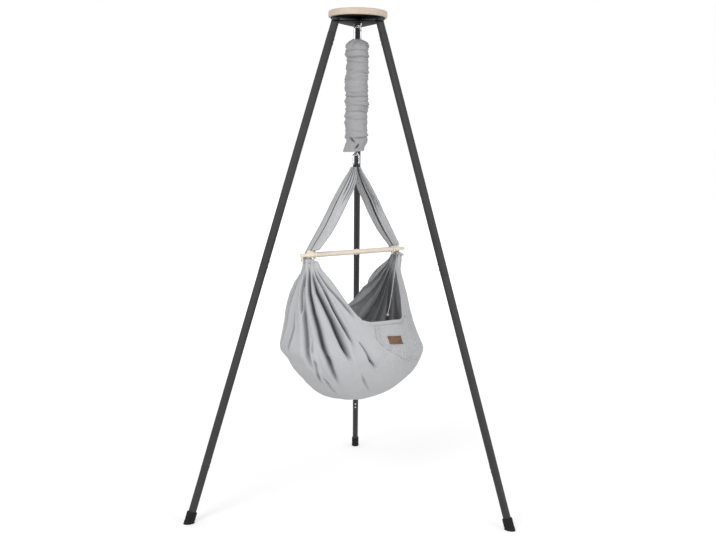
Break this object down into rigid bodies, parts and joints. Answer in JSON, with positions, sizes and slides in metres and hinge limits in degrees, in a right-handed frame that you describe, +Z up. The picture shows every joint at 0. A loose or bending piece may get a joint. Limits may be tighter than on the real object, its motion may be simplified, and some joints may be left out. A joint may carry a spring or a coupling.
{
  "type": "hanging baby cradle",
  "caption": "Baby cradle of gathered grey cloth under a sleeved coil spring, hung with a swivel and carabiners from a dark metal tripod with a round wooden top.",
  "frame": {"origin": "middle of the stand's footprint on the floor", "axes": "+Z up, -Y towards the viewer, +X to the viewer's right; one leg points to +Y"},
  "size_m": [1.2212, 1.0614, 1.9],
  "materials": {
    "beech": "clear matt oil",
    "leg_tube": "charcoal powder coat",
    "hub_steel": "black powder coat",
    "rubber_foot": "moulded matt",
    "zinc_steel": "bright zinc",
    "spring_steel": "drawn wire",
    "grey_cloth": "soft cotton weave",
    "mattress_cover": "cotton cover",
    "black_webbing": "woven band",
    "white_cord": "braided cotton",
    "leather_label": "smooth"
  },
  "bodies": {
    "stand": {"top_disc": "beech", "hub": "hub_steel", "upper_tube_left": "leg_tube", "lower_tube_left": "leg_tube", "foot_tube_left": "leg_tube", "upper_tube_right": "leg_tube", "lower_tube_right": "leg_tube", "foot_tube_right": "leg_tube", "upper_tube_back": "leg_tube", "lower_tube_back": "leg_tube", "foot_tube_back": "leg_tube", "rubber_foot_left": "rubber_foot", "rubber_foot_right": "rubber_foot", "rubber_foot_back": "rubber_foot", "top_screw_left_1": "zinc_steel", "top_screw_left_2": "zinc_steel", "middle_screw_left_1": "zinc_steel", "middle_screw_left_2": "zinc_steel", "lower_screw_left_1": "zinc_steel", "lower_screw_left_2": "zinc_steel", "top_screw_right_1": "zinc_steel", "top_screw_right_2": "zinc_steel", "middle_screw_right_1": "zinc_steel", "middle_screw_right_2": "zinc_steel", "lower_screw_right_1": "zinc_steel", "lower_screw_right_2": "zinc_steel", "top_screw_back_1": "zinc_steel", "top_screw_back_2": "zinc_steel", "middle_screw_back_1": "zinc_steel", "middle_screw_back_2": "zinc_steel", "lower_screw_back_1": "zinc_steel", "lower_screw_back_2": "zinc_steel", "eye_bolt": "zinc_steel", "eye_nut_1": "zinc_steel", "eye_nut_2": "zinc_steel"},
    "hook": {"hook_body": "zinc_steel", "safety_strap": "black_webbing"},
    "hook_latch": {"hook_gate": "zinc_steel"},
    "spring_top": {"spring": "spring_steel", "spring_sleeve": "grey_cloth"},
    "bouncer": {"swivel_upper": "zinc_steel"},
    "spinner": {"swivel_lower": "zinc_steel"},
    "cradle": {"link_body": "zinc_steel", "webbing_loop_left": "black_webbing", "webbing_loop_right": "black_webbing", "wing_left": "grey_cloth", "wing_right": "grey_cloth", "spreader_bar": "beech", "bar_tie_left": "white_cord", "bar_tie_right": "white_cord", "bag": "grey_cloth", "pocket": "grey_cloth", "label": "leather_label", "mattress": "mattress_cover", "drawstring": "white_cord", "bead": "beech", "cord_tail_1": "white_cord", "cord_tail_2": "white_cord"},
    "link_latch": {"link_gate": "zinc_steel"}
  },
  "joints": [
    {"name": "swing_lengthwise", "type": "hinge", "parent": "stand", "child": "hook", "pos_m": [0, -0.17238, 1.841], "axis": [-0.682, 0.7314, 0], "range_deg": [-2.5, 2.5]},
    {"name": "hook_gate_open", "type": "hinge", "parent": "hook", "child": "hook_latch", "pos_m": [0.01207, -0.16113, 1.7938], "axis": [0.682, -0.7314, 0], "range_deg": [0, 25], "stiffness_Nm_per_rad": 0.1, "springref_deg": -17.19},
    {"name": "swing_crosswise", "type": "hinge", "parent": "hook", "child": "spring_top", "pos_m": [0, -0.17238, 1.7753], "axis": [0.7314, 0.682, 0], "range_deg": [-3.5, 3.5]},
    {"name": "bounce", "type": "slide", "parent": "spring_top", "child": "bouncer", "axis": [0, 0, 1], "range_m": [-0.16, 0.02], "stiffness_N_per_m": 450, "springref_m": 0.0572, "deforming": ["spring", "spring_sleeve"]},
    {"name": "twist", "type": "hinge", "parent": "bouncer", "child": "spinner", "pos_m": [0, -0.17238, 1.385], "axis": [0, 0, 1], "continuous": true},
    {"name": "rock", "type": "hinge", "parent": "spinner", "child": "cradle", "pos_m": [0, -0.17238, 1.3572], "axis": [0.682, -0.7314, 0], "range_deg": [-1.5, 1.5]},
    {"name": "link_gate_open", "type": "hinge", "parent": "cradle", "child": "link_latch", "pos_m": [0.0117, -0.16147, 1.3355], "axis": [0.682, -0.7314, 0], "range_deg": [0, 25], "stiffness_Nm_per_rad": 0.06, "springref_deg": -17.19}
  ]
}
